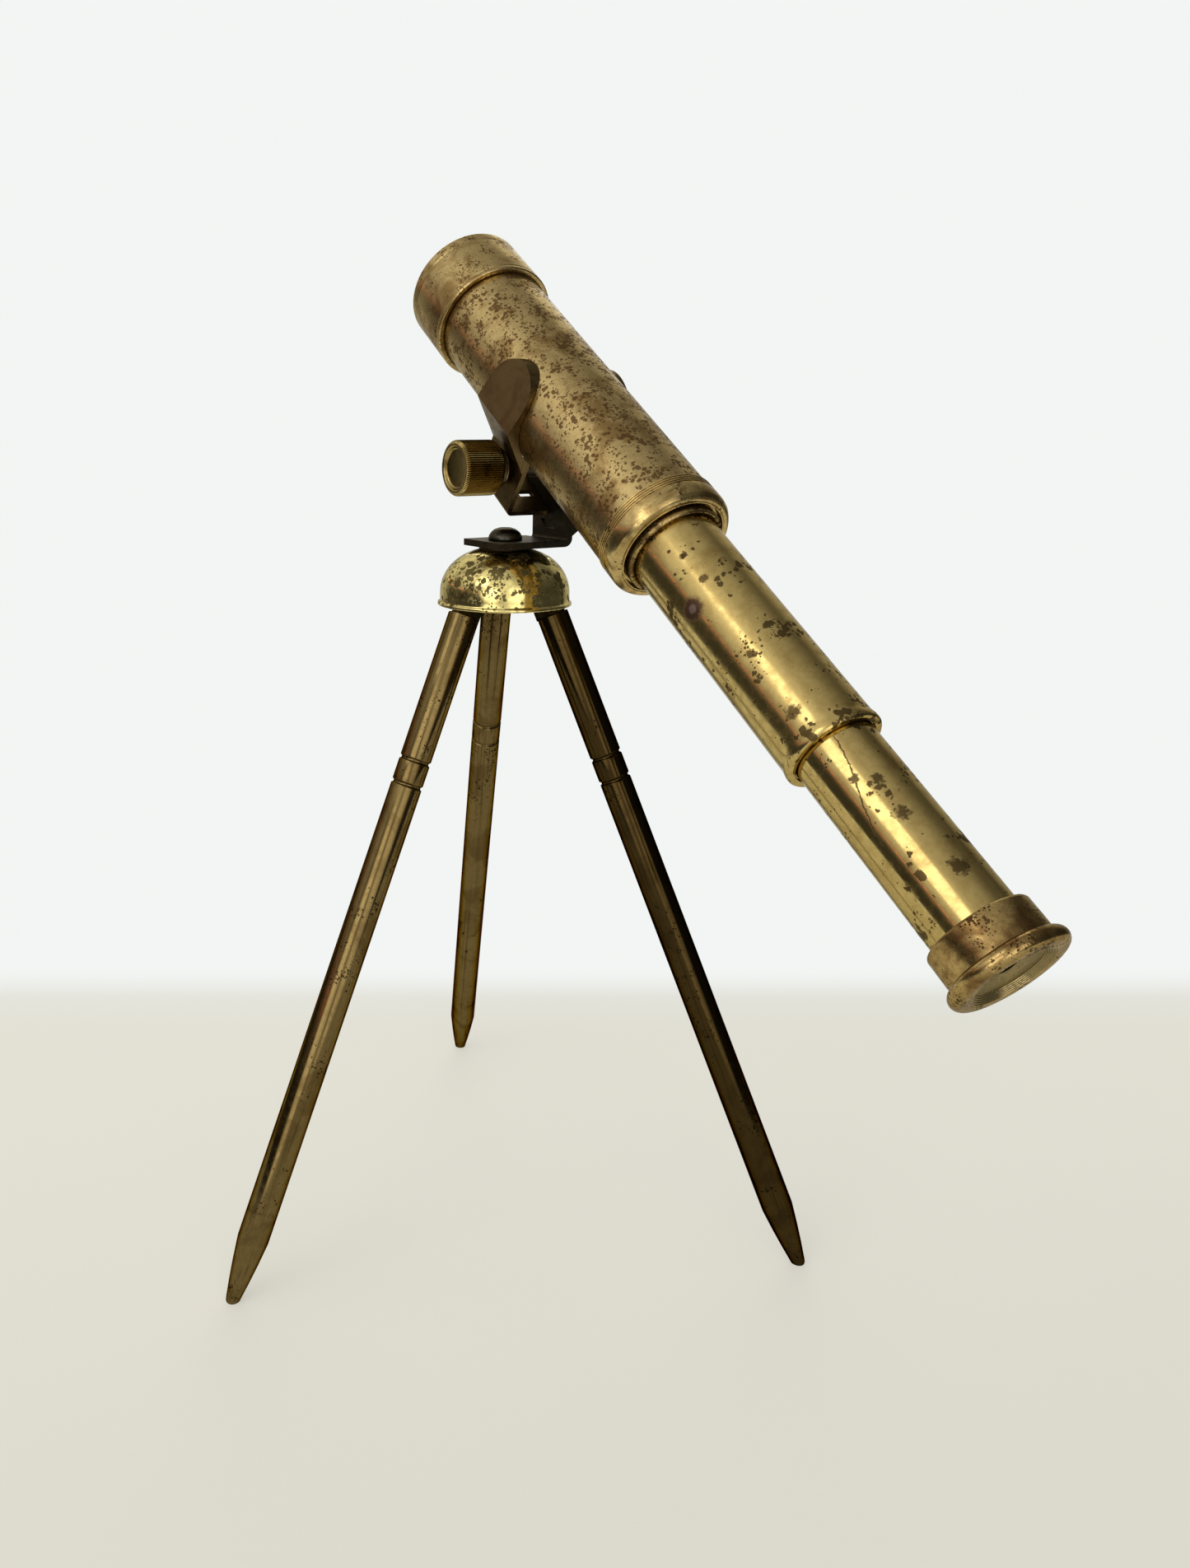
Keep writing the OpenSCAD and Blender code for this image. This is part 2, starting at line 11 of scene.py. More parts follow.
import bmesh
import bpy
from mathutils import Matrix, Vector


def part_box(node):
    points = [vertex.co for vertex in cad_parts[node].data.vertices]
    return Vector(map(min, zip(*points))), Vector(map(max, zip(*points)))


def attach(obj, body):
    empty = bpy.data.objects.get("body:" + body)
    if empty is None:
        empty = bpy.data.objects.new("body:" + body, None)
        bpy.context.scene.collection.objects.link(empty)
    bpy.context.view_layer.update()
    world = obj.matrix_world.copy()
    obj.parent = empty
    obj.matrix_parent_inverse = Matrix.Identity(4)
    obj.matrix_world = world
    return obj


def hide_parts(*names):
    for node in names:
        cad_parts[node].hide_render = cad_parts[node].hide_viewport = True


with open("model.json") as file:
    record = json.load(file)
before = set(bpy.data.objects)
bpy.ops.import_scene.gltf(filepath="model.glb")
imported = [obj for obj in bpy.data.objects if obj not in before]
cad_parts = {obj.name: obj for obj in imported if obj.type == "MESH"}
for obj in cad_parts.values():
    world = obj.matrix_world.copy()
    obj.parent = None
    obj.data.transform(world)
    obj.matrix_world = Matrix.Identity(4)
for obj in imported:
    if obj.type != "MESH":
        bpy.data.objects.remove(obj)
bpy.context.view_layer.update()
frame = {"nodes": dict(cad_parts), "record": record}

MM = 0.001
NODES = frame["nodes"]
JOINTS = {j["name"]: j for j in frame["record"]["behaviour"]["joints"]}
SCENE = bpy.context.scene


# ---------------------------------------------------------------- camera
CAMERA_AZIMUTH = 57.23
CAMERA_DISTANCE = 0.32468
CAMERA_HEIGHT = 0.21303
CAMERA_YAW = 3.32
CAMERA_PITCH = 13.46
CAMERA_LENS = 29.27
CAMERA_SHIFT = (0.1047, -0.0380)


def make_camera():
    around = math.radians(CAMERA_AZIMUTH)
    place = Vector((math.sin(around) * CAMERA_DISTANCE,
                    -math.cos(around) * CAMERA_DISTANCE, CAMERA_HEIGHT))
    turn = math.radians(CAMERA_AZIMUTH + CAMERA_YAW)
    pitch = math.radians(CAMERA_PITCH)
    forward = Vector((-math.sin(turn) * math.cos(pitch),
                      math.cos(turn) * math.cos(pitch), -math.sin(pitch)))
    data = bpy.data.cameras.new("camera")
    data.sensor_width = 36
    data.lens = CAMERA_LENS
    data.shift_x, data.shift_y = CAMERA_SHIFT
    data.clip_start, data.clip_end = 0.01, 20
    camera = bpy.data.objects.new("camera", data)
    SCENE.collection.objects.link(camera)
    camera.location = place
    camera.rotation_mode = "QUATERNION"
    camera.rotation_quaternion = forward.to_track_quat("-Z", "Y")
    SCENE.camera = camera


# ------------------------------------------------------------ node helper
def srgb(r, g, b):
    def linear(c):
        c = c / 255
        return c / 12.92 if c <= 0.04045 else ((c + 0.055) / 1.055) ** 2.4
    return (linear(r), linear(g), linear(b), 1)


# The second tube's hairline: its ends along the tube, and its angles there.
CRACK_RUN = (0.1299, 0.1525)
CRACK_TURN = (2.20, 2.82)


class Nodes:
    """A node tree, with one short call per kind of node."""

    def __init__(self, owner):
        owner.use_nodes = True
        self.tree = owner.node_tree
        self.tree.nodes.clear()

    def add(self, kind, **settings):
        node = self.tree.nodes.new(kind)
        for key, value in settings.items():
            setattr(node, key, value)
        return node

    def link(self, a, b):
        self.tree.links.new(a, b)

    def feed(self, socket, value):
        """Links a node's output, or sets a plain value."""
        if isinstance(value, bpy.types.NodeSocket):
            self.link(value, socket)
        else:
            socket.default_value = value

    def ramp(self, value, low, high, bottom=0.0, top=1.0):
        """Eases from bottom to top as the value goes from low to high."""
        node = self.add("ShaderNodeMapRange", interpolation_type="SMOOTHSTEP")
        self.link(value, node.inputs["Value"])
        node.inputs["From Min"].default_value = low
        node.inputs["From Max"].default_value = high
        node.inputs["To Min"].default_value = bottom
        node.inputs["To Max"].default_value = top
        return node.outputs["Result"]

    def math(self, operation, a, b=0.0):
        node = self.add("ShaderNodeMath", operation=operation)
        self.feed(node.inputs[0], a)
        self.feed(node.inputs[1], b)
        return node.outputs[0]

    def dot(self, place, way):
        """How far a place or direction reaches along a way."""
        node = self.add("ShaderNodeVectorMath", operation="DOT_PRODUCT")
        self.link(place, node.inputs[0])
        node.inputs[1].default_value = way
        return node.outputs["Value"]

    def length(self, place):
        node = self.add("ShaderNodeVectorMath", operation="LENGTH")
        self.link(place, node.inputs[0])
        return node.outputs["Value"]


class Graph(Nodes):
    """A material, in its piece's own coordinates."""

    def __init__(self, name):
        self.material = bpy.data.materials.new(name)
        super().__init__(self.material)
        self.out = self.add("ShaderNodeOutputMaterial")
        self.shader = self.add("ShaderNodeBsdfPrincipled")
        self.link(self.shader.outputs["BSDF"], self.out.inputs["Surface"])
        self.place = self.add("ShaderNodeTexCoord").outputs["Object"]

    def stretched(self, scale):
        node = self.add("ShaderNodeMapping")
        self.link(self.place, node.inputs["Vector"])
        node.inputs["Scale"].default_value = scale
        return node.outputs["Vector"]

    def noise(self, scale, detail=4, rough=0.55, where=None, warp=0.0):
        node = self.add("ShaderNodeTexNoise")
        self.link(where or self.place, node.inputs["Vector"])
        node.inputs["Scale"].default_value = scale
        node.inputs["Detail"].default_value = detail
        node.inputs["Roughness"].default_value = rough
        node.inputs["Distortion"].default_value = warp
        return node.outputs["Fac"]

    def warped(self, amount, scale):
        """The piece's own coordinates, pushed about by noise."""
        node = self.add("ShaderNodeTexNoise")
        self.link(self.place, node.inputs["Vector"])
        node.inputs["Scale"].default_value = scale
        node.inputs["Detail"].default_value = 4
        node.inputs["Roughness"].default_value = 0.7
        push = self.add("ShaderNodeVectorMath", operation="MULTIPLY_ADD")
        self.link(node.outputs["Color"], push.inputs[0])
        push.inputs[1].default_value = (amount, amount, amount)
        self.link(self.place, push.inputs[2])
        return push.outputs["Vector"]

    def spots(self, scale, size, gather):
        """Irregular specks: one per cell at most, larger where gathered."""
        node = self.add("ShaderNodeTexVoronoi", feature="F1")
        self.link(self.warped(0.9 / scale, scale * 1.7), node.inputs["Vector"])
        node.inputs["Scale"].default_value = scale
        parts = self.add("ShaderNodeSeparateColor")
        self.link(node.outputs["Color"], parts.inputs[0])
        reach = self.math("MULTIPLY", parts.outputs[0], size)
        reach = self.math("MULTIPLY", reach, gather)
        inside = self.math("SUBTRACT", reach, node.outputs["Distance"])
        return self.ramp(inside, -0.05, 0.05)

    def mark(self, point, size, ragged):
        """A blot of that radius in millimetres at a point of the surface."""
        warp = self.warped(size * ragged * 2.4 * MM, 900)
        gap = self.add("ShaderNodeVectorMath", operation="DISTANCE")
        self.link(warp, gap.inputs[0])
        shift = size * ragged * 1.2
        gap.inputs[1].default_value = [(c + shift) * MM for c in point]
        return self.ramp(gap.outputs["Value"], 0.55 * size * MM, size * MM, 1, 0)

    def crack(self):
        """A hairline along the second tube, drifting round as it goes."""
        parts = self.add("ShaderNodeSeparateXYZ")
        self.link(self.warped(0.0012, 700), parts.inputs[0])
        x, y, z = parts.outputs
        turn = self.math("ARCTAN2", y, x)
        run = self.ramp(z, *CRACK_RUN, *CRACK_TURN)
        gap = self.math("ABSOLUTE", self.math("SUBTRACT", turn, run))
        line = self.ramp(gap, 0.010, 0.026, 1, 0)
        start = self.ramp(z, CRACK_RUN[0] - 0.0008, CRACK_RUN[0])
        end = self.ramp(z, CRACK_RUN[1] - 0.001, CRACK_RUN[1], 1, 0)
        return self.math("MULTIPLY", line, self.math("MULTIPLY", start, end))

    def mix(self, factor, a, b):
        node = self.add("ShaderNodeMix", data_type="RGBA")
        self.feed(node.inputs["Factor"], factor)
        self.feed(node.inputs[6], a)
        self.feed(node.inputs[7], b)
        return node.outputs[2]

    def bump(self, height, strength, distance):
        node = self.add("ShaderNodeBump")
        self.link(height, node.inputs["Height"])
        node.inputs["Strength"].default_value = strength
        node.inputs["Distance"].default_value = distance
        self.link(node.outputs["Normal"], self.shader.inputs["Normal"])

    def set(self, **values):
        for key, value in values.items():
            self.feed(self.shader.inputs[key.replace("_", " ")], value)


# -------------------------------------------------------------- materials
# How much less the tarnished skin of a metal shines at a grazing look.
EDGE_TINT = srgb(204, 201, 192)


def aged_brass(name, bright, brown, dark, clouds=(60, 0.46, 0.62),
               specks=((900, 0.30, 190, 0.48, 0.66),), shine=0.25,
               dull=0.2, streak=0.0, grain=0.0, marks=None, relief=0.3,
               skin=None):
    """Old brass in its piece's own frame, whose Z is the turning axis.

    clouds: scale, start and end of the brown bloom. Each speck layer: its
    cells per metre, largest size in cells, and the scale and limits of the
    noise that gathers the specks in patches. shine is the clean roughness
    and dull what the bloom and pits add; streak and grain are the strength
    of lengthwise brushing and of fine dust; marks adds a piece's own blots,
    and painted shade on the eyepiece; skin replaces EDGE_TINT.
    """
    g = Graph(name)
    soft = g.noise(clouds[0], 6, 0.62, warp=0.6)
    bloom = g.ramp(soft, clouds[1], clouds[2])
    mottle = g.noise(clouds[0] * 7, 6, 0.66)
    tint = g.mix(g.ramp(mottle, 0.38, 0.66, 0, 0.55), srgb(*bright),
                 srgb(*[(a + b) / 2 for a, b in zip(bright, brown)]))
    tint = g.mix(g.math("MULTIPLY", bloom, 0.9), tint, srgb(*brown))
    if streak:
        brushed = g.noise(1300, 4, 0.6, where=g.stretched((1, 1, 0.02)))
        tint = g.mix(g.ramp(brushed, 0.5, 0.72, 0, streak), tint,
                     srgb(*[c * 0.75 for c in brown]))
    if grain:
        dust = g.ramp(g.noise(3300, 3, 0.7), 0.5, 0.7, 0, grain)
        tint = g.mix(dust, tint, srgb(*[c * 0.8 for c in brown]))
    pits = None
    for scale, size, patch, low, high in specks:
        layer = g.spots(scale, size, g.ramp(g.noise(patch, 4, 0.65), low, high))
        pits = layer if pits is None else g.math("MAXIMUM", pits, layer)
    tint = g.mix(g.math("MULTIPLY", pits, 0.85), tint, srgb(*dark))
    if marks:
        # On the eyepiece, marks also gives painted shade: the eye hole's wall is
        # painted near black, and it roughens and dents like the pits.
        tint, marked = marks(g, tint)
        pits = g.math("MAXIMUM", pits, marked)
    rough = g.ramp(mottle, 0.35, 0.7, shine - 0.04, shine + 0.08)
    rough = g.math("ADD", rough, g.math("MULTIPLY", bloom, dull * 0.5))
    rough = g.math("ADD", rough, g.math("MULTIPLY", pits, dull + 0.15))
    g.set(Base_Color=tint, Roughness=rough, Metallic=1.0)
    g.shader.inputs["Specular Tint"].default_value = skin or EDGE_TINT
    height = g.math("SUBTRACT", g.math("MULTIPLY", mottle, 0.5), pits)
    g.bump(height, relief, 0.00005)
    return g.material


# Marks on the draw tubes: a place on the surface and a radius, in the
# millimetres of the telescope's axis.
RUST_SPOT = (-10.0, 2.1, 88.5)
RUST_HALO, RUST_CORE = 3.2, 1.2
FIRST_BLOTS = (((-8.6, 5.4, 105.5), 1.3), ((-7.3, 7.1, 85.0), 1.3),
               ((-7.7, 6.7, 77.4), 0.9), ((-8.9, 4.9, 120.9), 1.9))
SECOND_BLOTS = (((-6.9, 5.0, 138.1), 1.2), ((-4.5, 7.3, 140.5), 1.5),
                ((-4.8, 7.0, 148.5), 1.8), ((-2.9, 8.0, 161.4), 2.2))


def first_draw_marks(g, tint):
    """The first draw tube's ringed rust spot and a few larger blots."""
    halo = g.mark(RUST_SPOT, RUST_HALO, 0.35)
    core = g.mark(RUST_SPOT, RUST_CORE, 0.2)
    tint = g.mix(g.math("MULTIPLY", halo, 0.92), tint, srgb(78, 52, 46))
    tint = g.mix(g.math("MULTIPLY", core, 0.8), tint, srgb(150, 132, 122))
    marked = halo
    for point, size in FIRST_BLOTS:
        blot = g.mark(point, size, 0.75)
        tint = g.mix(g.math("MULTIPLY", blot, 0.8), tint, srgb(66, 46, 26))
        marked = g.math("MAXIMUM", marked, blot)
    return tint, marked


def second_draw_marks(g, tint):
    """Dark flaked patches and the hairline crack on the second tube."""
    marked = g.crack()
    for point, size in SECOND_BLOTS:
        marked = g.math("MAXIMUM", marked, g.mark(point, size, 0.9))
    tint = g.mix(g.math("MULTIPLY", marked, 0.85), tint, srgb(62, 46, 28))
    return tint, marked


# The eyepiece's turned face and the painted shade of its eye hole end between
# these radii.
EYE_FACE = (8.2 * MM, 8.5 * MM)
EYE_HOLE = (1.9 * MM, 2.3 * MM)


def eye_face_tone_and_hole_shade(g, tint):
    """The eyepiece's cleaner turned face, and painted shade on the wall of its
    eye hole.
    """
    out = g.length(g.stretched((1, 1, 0)))
    face = g.ramp(out, *EYE_FACE, 0.75, 0)
    # Painted shade: within EYE_HOLE the face is painted near black for the
    # shaded wall of the eye hole.
    hole_shade = g.ramp(out, *EYE_HOLE, 1, 0)
    tint = g.mix(face, tint, srgb(150, 136, 98))
    return g.mix(hole_shade, tint, srgb(10, 8, 6)), hole_shade


def black_steel(name, base, rust, edge, shine=0.42, rub=0.35, glint=0.0):
    """Blackened sheet steel with brown bloom, rubs and fine pitting."""
    g = Graph(name)
    bloom = g.noise(140, 6, 0.65, warp=0.5)
    rubs = g.noise(900, 5, 0.72)
    pits = g.spots(1500, 0.26, g.ramp(g.noise(240, 4, 0.6), 0.45, 0.65))
    tint = g.mix(g.ramp(bloom, 0.42, 0.66), srgb(*base), srgb(*rust))
    # glint lifts the whole surface toward the edge colour: a painted highlight
    # on top of the rubbed wear.
    tint = g.mix(g.ramp(rubs, 0.56, 0.74, glint, glint + rub), tint,
                 srgb(*edge))
    tint = g.mix(g.math("MULTIPLY", pits, 0.6), tint,
                 srgb(*[c * 0.5 for c in base]))
    rough = g.ramp(rubs, 0.3, 0.7, shine - 0.08, shine + 0.12)
    g.set(Base_Color=tint, Roughness=rough, Metallic=1.0)
    g.shader.inputs["Specular Tint"].default_value = EDGE_TINT
    g.bump(g.math("SUBTRACT", rubs, pits), 0.30, 0.00004)
    return g.material


def clear_glass(name, tint):
    g = Graph(name)
    smear = g.noise(320, 3, 0.5)
    g.set(Base_Color=srgb(*tint), Roughness=g.ramp(smear, 0.45, 0.8, 0.0, 0.05),
          IOR=1.52, Transmission_Weight=1.0)
    return g.material


BARREL = dict(bright=(192, 168, 114), brown=(138, 110, 66),
              dark=(92, 66, 38), dull=0.10, relief=0.22)
LEG = dict(clouds=(90, 0.46, 0.66), shine=0.13, dull=0.05, streak=0.7,
           relief=0.12, specks=((1500, 0.7, 150, 0.46, 0.68),),
           skin=srgb(128, 120, 102))
TUBE = dict(bright=(196, 172, 108), brown=(140, 110, 58), dark=(60, 44, 24),
            clouds=(70, 0.50, 0.75), dull=0.12, relief=0.15,
            specks=((620, 0.95, 90, 0.44, 0.68),
                    (1500, 0.95, 110, 0.48, 0.70)))
BRASSES = {
    "cap_brass": dict(
        bright=(232, 214, 140), brown=(100, 84, 46), dark=(62, 48, 24),
        clouds=(85, 0.56, 0.66), shine=0.12, dull=0.3,
        specks=((560, 0.95, 110, 0.44, 0.62),
                (1500, 0.95, 150, 0.44, 0.64))),
    "leg_brass": dict(
        bright=(116, 98, 60), brown=(92, 74, 42), dark=(34, 26, 14), **LEG),
    "dark_leg_brass": dict(
        bright=(66, 52, 26), brown=(52, 40, 20), dark=(24, 18, 8), **LEG),
    "barrel_brass": dict(
        clouds=(120, 0.46, 0.64), shine=0.25, grain=0.35,
        specks=((1000, 0.84, 150, 0.36, 0.60),
                (1700, 0.88, 220, 0.40, 0.62)), **BARREL),
    "hood_brass": dict(
        clouds=(120, 0.46, 0.66), shine=0.27, grain=0.5,
        specks=((2300, 1.0, 220, 0.40, 0.66),), **BARREL),
    "ring_brass": dict(
        bright=(202, 176, 116), brown=(126, 100, 58), dark=(58, 42, 22),
        clouds=(130, 0.44, 0.66), shine=0.20, dull=0.12,
        specks=((1500, 0.8, 170, 0.50, 0.7),)),
    "collar_brass": dict(
        bright=(186, 160, 104), brown=(92, 70, 40), dark=(36, 26, 14),
        clouds=(220, 0.42, 0.60), shine=0.24, dull=0.2,
        specks=((1300, 1.0, 250, 0.42, 0.6),)),
    "draw_brass": dict(marks=first_draw_marks, shine=0.18, **TUBE),
    "draw_brass_two": dict(marks=second_draw_marks, shine=0.13, **TUBE),
    "eyepiece_brass": dict(
        bright=(188, 160, 102), brown=(104, 76, 42), dark=(56, 38, 20),
        clouds=(130, 0.38, 0.62), shine=0.20, dull=0.14, grain=0.5,
        marks=eye_face_tone_and_hole_shade, specks=((2300, 1.0, 220, 0.42, 0.68),)),
    "inner_brass": dict(
        bright=(92, 76, 46), brown=(52, 40, 24), dark=(20, 15, 9),
        shine=0.4, specks=((1500, 0.6, 200, 0.5, 0.7),)),
    "knob_brass": dict(
        bright=(160, 140, 88), brown=(106, 86, 48), dark=(38, 30, 16),
        clouds=(300, 0.46, 0.70), shine=0.20, dull=0.12,
        specks=((1700, 0.6, 260, 0.5, 0.7),)),
    "washer_brass": dict(
        bright=(196, 172, 118), brown=(128, 100, 60), dark=(60, 44, 24),
        clouds=(300, 0.42, 0.62), shine=0.2,
        specks=((1500, 0.6, 200, 0.5, 0.7),)),
}
STEELS = {
    "bracket_steel": dict(
        base=(58, 54, 45), rust=(74, 64, 48), edge=(92, 84, 68)),
    "jaw_steel": dict(
        base=(108, 90, 58), rust=(92, 72, 46), edge=(130, 110, 76),
        shine=0.34),
    # Corner materials, lighter than their sheets: rubbed wear, and through glint
    # a painted highlight.
    "worn_steel": dict(
        base=(96, 90, 76), rust=(80, 70, 54), edge=(140, 132, 114),
        shine=0.3, glint=0.15),
    "worn_jaw": dict(
        base=(128, 108, 76), rust=(98, 78, 50), edge=(168, 150, 118),
        shine=0.28, glint=0.15),
    "screw_steel": dict(
        base=(62, 60, 52), rust=(70, 62, 50), edge=(110, 106, 94),
        shine=0.28),
    "thread_steel": dict(
        base=(92, 84, 70), rust=(80, 66, 48), edge=(150, 142, 124)),
    "washer_steel": dict(
        base=(44, 40, 33), rust=(58, 49, 37), edge=(84, 76, 62), shine=0.5),
    "pin_steel": dict(
        base=(132, 126, 114), rust=(106, 92, 70), edge=(176, 168, 152)),
}
GLASSES = {
    "objective_glass": dict(tint=(236, 246, 248)),
    "ocular_glass": dict(tint=(232, 242, 244)),
}


def make_materials():
    materials = {}
    for coat, looks in ((aged_brass, BRASSES), (black_steel, STEELS),
                        (clear_glass, GLASSES)):
        for name, settings in looks.items():
            materials[name] = coat(name, **settings)
    return materials


def coat_nodes(materials):
    """Gives every CAD node its slot's material."""
    slots = {s["node"]: s["material_slot"] for s in frame["record"]["subparts"]}
    for node, slot in slots.items():
        cad = NODES[node]
        cad.data.materials.clear()
        cad.data.materials.append(materials[slot])


# ------------------------------------------------------------------ stage
VIEW_WAY = Vector((-0.871, 0.492, 0))
FLOOR_WARM = srgb(236, 234, 222)
FLOOR_GLOW = srgb(238, 236, 224)
BACKDROP = srgb(242, 245, 243)
FLOOR_RADIUS = 0.56
# Where the floor turns to the backdrop: at its rim, and behind the stand.
RIM_FADE = (0.36, 0.50)
FLOOR_FADE = (0.085, 0.150)
# The floor's own glow, from the near side of the stand to its far side.
GLOW_REACH, GLOW_SHARE = (-0.15, 0.08), (0.44, 0.60)


def make_stage():
    """A pale round floor that fades to the backdrop's white."""
    bpy.ops.mesh.primitive_circle_add(vertices=192, radius=FLOOR_RADIUS,
                                      fill_type="NGON")
    floor = bpy.context.object
    floor.name = "floor"
    g = Graph("floor")
    away = g.dot(g.place, VIEW_WAY)
    far = g.math("MAXIMUM", g.ramp(away, *FLOOR_FADE),
                 g.ramp(g.length(g.place), *RIM_FADE))
    near = g.ramp(away, *GLOW_REACH, *GLOW_SHARE)
    g.set(Base_Color=FLOOR_WARM, Roughness=0.75)
    g.shader.inputs["Specular IOR Level"].default_value = 0.2
    glow = g.add("ShaderNodeEmission")
    g.link(g.mix(far, FLOOR_GLOW, BACKDROP), glow.inputs["Color"])
    blend = g.add("ShaderNodeMixShader")
    g.link(g.math("MAXIMUM", near, far), blend.inputs[0])
    g.link(g.shader.outputs["BSDF"], blend.inputs[1])
    g.link(glow.outputs["Emission"], blend.inputs[2])
    g.link(blend.outputs[0], g.out.inputs["Surface"])
    floor.data.materials.append(g.material)


class World(Nodes):
    """The room that the metal reflects, from plain functions of direction."""

    def __init__(self):
        SCENE.world = bpy.data.worlds.new("room")
        super().__init__(SCENE.world)
        self.way = self.add("ShaderNodeTexCoord").outputs["Generated"]

    def toward(self, way, start, end, bottom=0.0, top=1.0):
        """Rises from bottom to top as the direction nears that way."""
        near = self.dot(self.way, Vector(way).normalized())
        return self.ramp(near, start, end, bottom, top)

    def light(self, strength, color):
        node = self.add("ShaderNodeBackground")
        node.inputs["Color"].default_value = color
        self.link(strength, node.inputs["Strength"])
        return node.outputs[0]

    def both(self, a, b):
        node = self.add("ShaderNodeAddShader")
        self.link(a, node.inputs[0])
        self.link(b, node.inputs[1])
        return node.outputs[0]


UP = (0, 0, 1)
BACK_WAY = (-0.871, 0.492, 0.1)
LEFT_WAY = (-0.54, -0.84, 0.1)
ROOM_FLOOR, ROOM_CEILING = 0.06, 0.17
ROOM_WHITE = (1, 0.985, 0.955, 1)
# Soft panels of light: a way to each, its fall-off, and its power.
WINDOW = (-0.15, -0.70, 0.70)
PANELS = ((WINDOW, 0.82, 1.0, 0.42),
          ((0.976, -0.134, 0.14), 0.90, 0.97, 1.1),
          ((0.525, -0.833, 0.17), 0.93, 0.98, 1.5),
          ((0.84, -0.54, 0.25), 0.70, 0.93, 0.7))
# A thin red thing on the left, which draws a line along the tubes.
RED, RED_POWER = (1.0, 0.16, 0.10, 1), 1.1
RED_BOTTOM, RED_TOP = (0.19, 0.20), (0.215, 0.225)


def make_world():
    """A white room: bright behind the stand, windowed, and dark low down."""
    w = World()
    behind = w.toward(BACK_WAY, 0.35, 0.95, 0, 0.8)
    ceiling = w.toward(UP, 0.16, 0.90, ROOM_FLOOR, ROOM_CEILING)
    room = w.math("MAXIMUM", behind, ceiling)
    wide = w.math("MULTIPLY", w.toward(WINDOW, 0.0, 1.0, 0, 0.5),
                  w.toward(UP, 0.05, 0.35))
    room = w.math("ADD", room, wide)
    for way, start, end, power in PANELS:
        room = w.math("ADD", room, w.toward(way, start, end, 0, power))
    room = w.light(room, ROOM_WHITE)
    left = w.toward(LEFT_WAY, 0.55, 0.85)
    line = w.math("MULTIPLY", w.toward(UP, *RED_BOTTOM),
                  w.toward(UP, *RED_TOP, 1, 0))
    red = w.math("MULTIPLY", w.math("MULTIPLY", line, left), RED_POWER)
    room = w.both(room, w.light(red, RED))
    seen = w.add("ShaderNodeBackground")
    seen.inputs["Color"].default_value = BACKDROP
    path = w.add("ShaderNodeLightPath")
    pick = w.add("ShaderNodeMixShader")
    w.link(path.outputs["Is Camera Ray"], pick.inputs[0])
    w.link(room, pick.inputs[1])
    w.link(seen.outputs[0], pick.inputs[2])
    out = w.add("ShaderNodeOutputWorld")
    w.link(pick.outputs[0], out.inputs["Surface"])


def make_light(name, place, size, power, target=(0, 0, 0.15)):
    data = bpy.data.lights.new(name, "AREA")
    data.energy = power
    data.size = size
    light = bpy.data.objects.new(name, data)
    SCENE.collection.objects.link(light)
    light.location = place
    way = Vector(target) - Vector(place)
    light.rotation_mode = "QUATERNION"
    light.rotation_quaternion = way.to_track_quat("-Z", "Y")


# ----------------------------------------------------------- mesh helpers
class Axis:
    """A local frame: its Z is a turned piece's axis."""

    def __init__(self, origin, way, across=Vector((0, 1, 0))):
        z = Vector(way).normalized()
        x = across - across.dot(z) * z
        x.normalize()
        y = z.cross(x)
        turn = Matrix((x, y, z)).transposed().to_4x4()
        self.matrix = Matrix.Translation(Vector(origin)) @ turn
        self.inverse = self.matrix.inverted()

    def points(self, node):
        cad = NODES[node]
        return [self.inverse @ (cad.matrix_world @ v.co)
                for v in cad.data.vertices]

    def span(self, node):
        along = [p.z for p in self.points(node)]
        return min(along), max(along)


NEARLY_STRAIGHT = 165


def rounded(profile, radius, closed=True, steps=3):
    """Rounds the corners of an (r, z) outline with short arcs."""
    result = []
    count = len(profile)
    for i, (r, z) in enumerate(profile):
        p = Vector((r, z))
        ends = not closed and i in (0, count - 1)
        if ends or r <= 0:
            result.append((r, z))
            continue
        a = Vector(profile[i - 1])
        b = Vector(profile[(i + 1) % count])
        da, db = a - p, b - p
        short = min(da.length, db.length) < 1e-9
        if short or da.angle(db) > math.radians(NEARLY_STRAIGHT):
            result.append((r, z))
            continue
        reach = min(radius, 0.4 * da.length, 0.4 * db.length)
        first, last = p + da.normalized() * reach, p + db.normalized() * reach
        for s in range(steps + 1):
            t = s / steps
            q = first * (1 - t) ** 2 + p * 2 * t * (1 - t) + last * t ** 2
            result.append((q.x, q.y))
    return result


def shade(mesh, sharp=32):
    """Smooth faces, with sharp edges where they meet at that angle."""
    for face in mesh.polygons:
        face.use_smooth = True
    mesh.set_sharp_from_angle(angle=math.radians(sharp))


def new_object(name, mesh, material, axis=None, sharp=32):
    mesh.materials.append(material)
    shade(mesh, sharp)
    piece = bpy.data.objects.new(name, mesh)
    SCENE.collection.objects.link(piece)
    if axis is not None:
        piece.matrix_world = axis.matrix
    return piece


